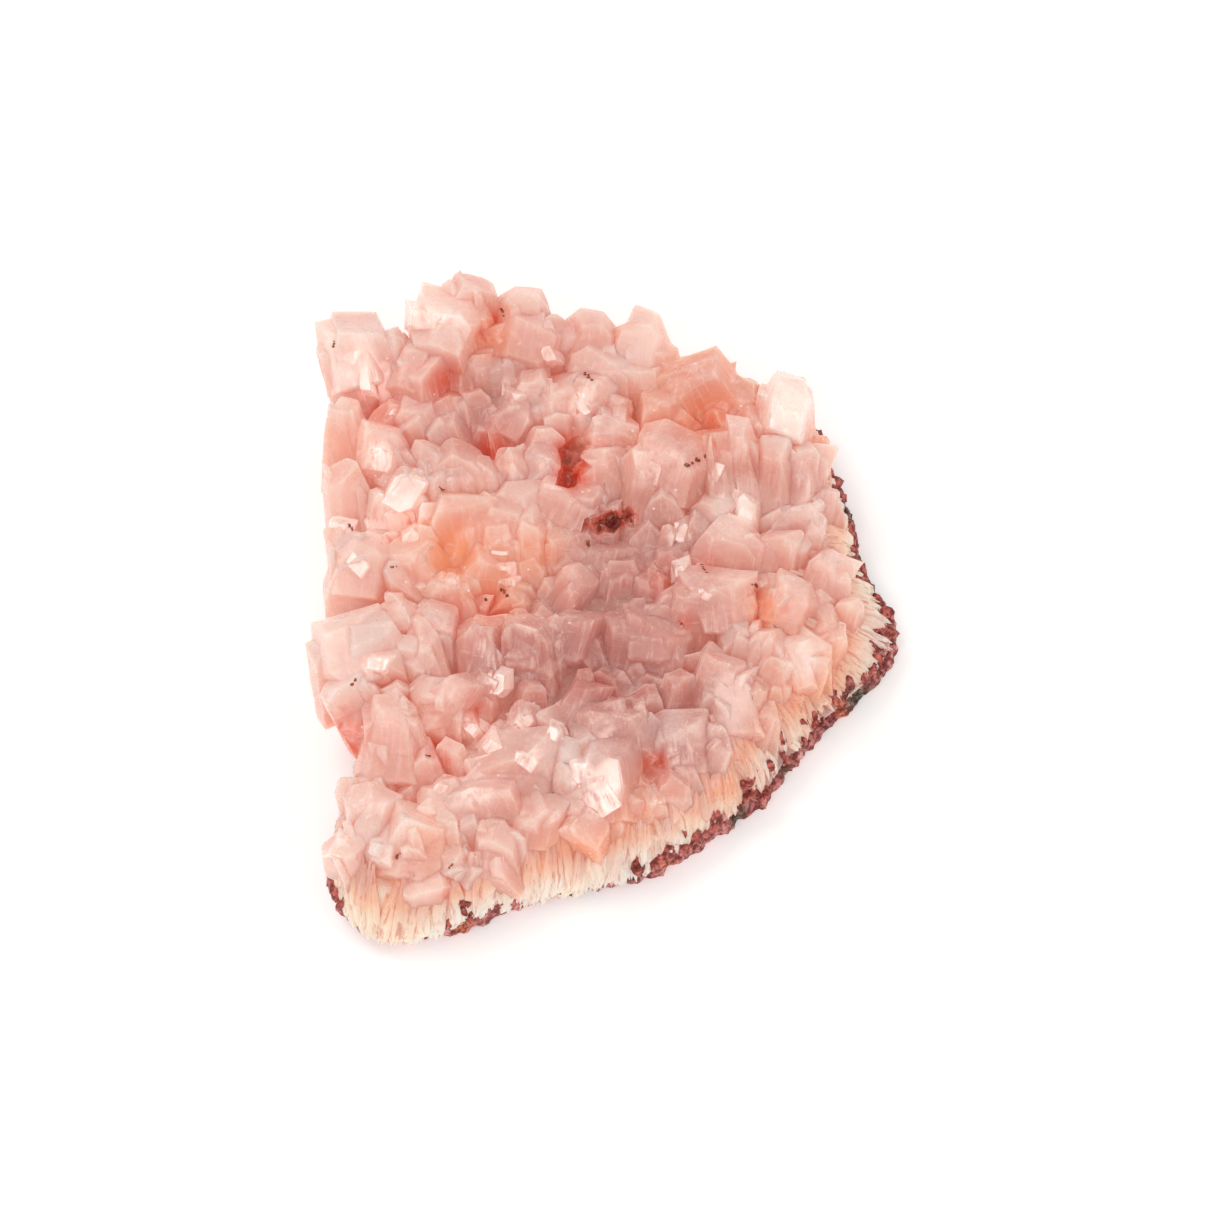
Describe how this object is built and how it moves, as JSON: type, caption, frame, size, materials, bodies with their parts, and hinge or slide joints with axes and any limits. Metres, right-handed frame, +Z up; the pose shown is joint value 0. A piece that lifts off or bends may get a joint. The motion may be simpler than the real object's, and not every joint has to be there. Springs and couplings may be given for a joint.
{
  "type": "heulandite cluster",
  "caption": "Cluster of blocky pink heulandite crystals on a thin rind of red-brown rock, for a display shelf or a mineral scene.",
  "frame": {"origin": "middle of the bounding box, on the plane that the rock rests on", "axes": "+Z up, the way that the crystals point; +Y along the longest side of the plate; +X to the right"},
  "size_m": [0.06, 0.0694, 0.0186],
  "materials": {
    "rock_rind": "rough broken rock, maroon with dark green spots",
    "heulandite_crystals": "translucent pink crystal, pearly and glassy faces, coral red in the depths"
  },
  "bodies": {
    "root": {"rock_rind": "rock_rind", "heulandite_crystals": "heulandite_crystals"}
  },
  "joints": []
}
